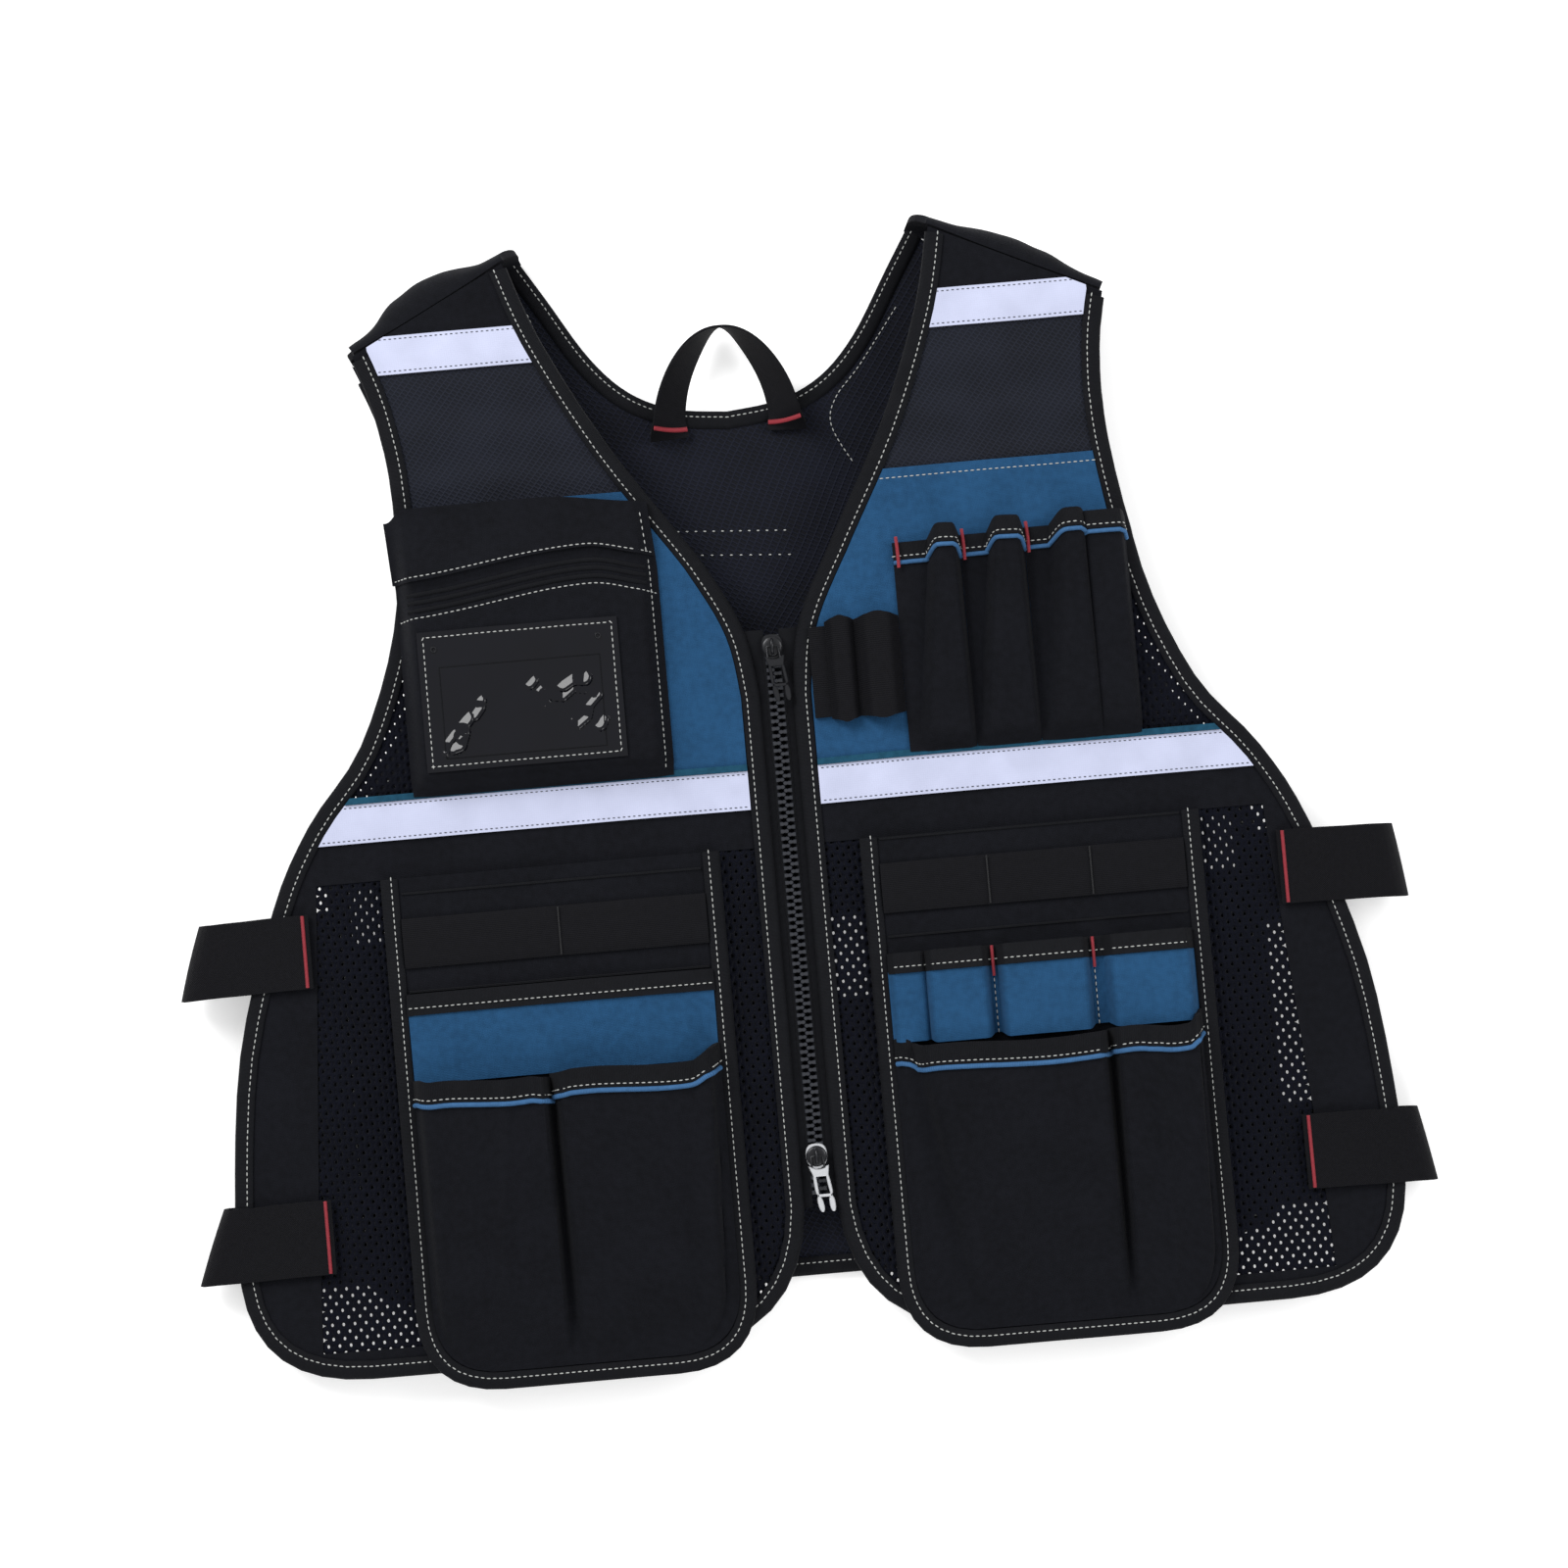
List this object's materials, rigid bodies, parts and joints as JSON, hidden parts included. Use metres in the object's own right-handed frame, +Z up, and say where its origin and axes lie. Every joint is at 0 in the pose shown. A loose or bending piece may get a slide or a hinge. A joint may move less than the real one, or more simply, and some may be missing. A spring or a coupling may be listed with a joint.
{
  "type": "utility work vest",
  "caption": "Sleeveless mesh work vest with reflective bands, a front zip, chest and waist tool pockets and elastic side straps, lying on its back.",
  "frame": {"origin": "on the ground, under the middle of the vest as it lies on its back", "axes": "+Z up out of the fronts, +Y from hem to neck, +X to the wearer's left"},
  "size_m": [0.6234, 0.584, 0.0473],
  "materials": {
    "black_fabric": "matt woven polyester",
    "spacer_net": "open knitted net",
    "binding_tape": "ribbed folded tape",
    "blue_fabric": "matt woven polyester",
    "reflective_tape": "glass bead reflective coating",
    "black_webbing": "woven webbing",
    "clear_vinyl": "glossy clear film over black cloth",
    "black_zip": "moulded, semi-gloss",
    "silver_zip": "polished die cast"
  },
  "bodies": {
    "vest": {"armhole_net_left": "spacer_net", "armhole_net_right": "spacer_net", "back_edge_binding": "binding_tape", "back_neck_binding": "binding_tape", "back_panel": "spacer_net", "back_shoulder_left": "spacer_net", "back_shoulder_right": "spacer_net", "badge_flap": "black_fabric", "badge_pocket": "black_fabric", "badge_window": "clear_vinyl", "blue_loop_1": "blue_fabric", "blue_loop_2": "blue_fabric", "blue_loop_3": "blue_fabric", "blue_pocket": "blue_fabric", "centre_net_left": "spacer_net", "centre_net_right": "spacer_net", "chest_band_left": "reflective_tape", "chest_band_right": "reflective_tape", "chest_panel_left": "blue_fabric", "chest_panel_right": "blue_fabric", "front_binding_left": "binding_tape", "front_binding_right": "binding_tape", "front_left": "black_fabric", "front_right": "black_fabric", "hang_loop": "black_webbing", "pals_webbing_left": "black_webbing", "pals_webbing_right": "black_webbing", "panel_binding_left": "binding_tape", "panel_binding_right": "binding_tape", "pen_loop_1": "black_webbing", "pen_loop_2": "black_webbing", "pocket_left_inner": "black_fabric", "pocket_left_outer": "black_fabric", "pocket_panel_left": "black_fabric", "pocket_panel_right": "black_fabric", "pocket_right_inner": "black_fabric", "pocket_right_outer": "black_fabric", "shoulder_band_left": "reflective_tape", "shoulder_band_right": "reflective_tape", "shoulder_left": "black_fabric", "shoulder_right": "black_fabric", "side_net_left": "spacer_net", "side_net_right": "spacer_net", "slider_lower": "silver_zip", "slider_upper": "black_zip", "strap_lower_left": "black_webbing", "strap_lower_right": "black_webbing", "strap_upper_left": "black_webbing", "strap_upper_right": "black_webbing", "tool_pocket_1": "black_fabric", "tool_pocket_2": "black_fabric", "tool_pocket_3": "black_fabric", "zip_chain": "black_zip", "zip_tape_left": "binding_tape", "zip_tape_right": "binding_tape"},
    "upper_pull": {"pull_upper": "black_zip"},
    "lower_pull": {"pull_lower": "silver_zip"}
  },
  "joints": [
    {"name": "upper_pull_hinge", "type": "hinge", "parent": "vest", "child": "upper_pull", "pos_m": [0, 0.07406, 0.02719], "axis": [-1, 0, 0], "range_deg": [0, 160]},
    {"name": "lower_pull_hinge", "type": "hinge", "parent": "vest", "child": "lower_pull", "pos_m": [0, -0.18911, 0.01894], "axis": [-1, 0, 0], "range_deg": [0, 160]}
  ]
}
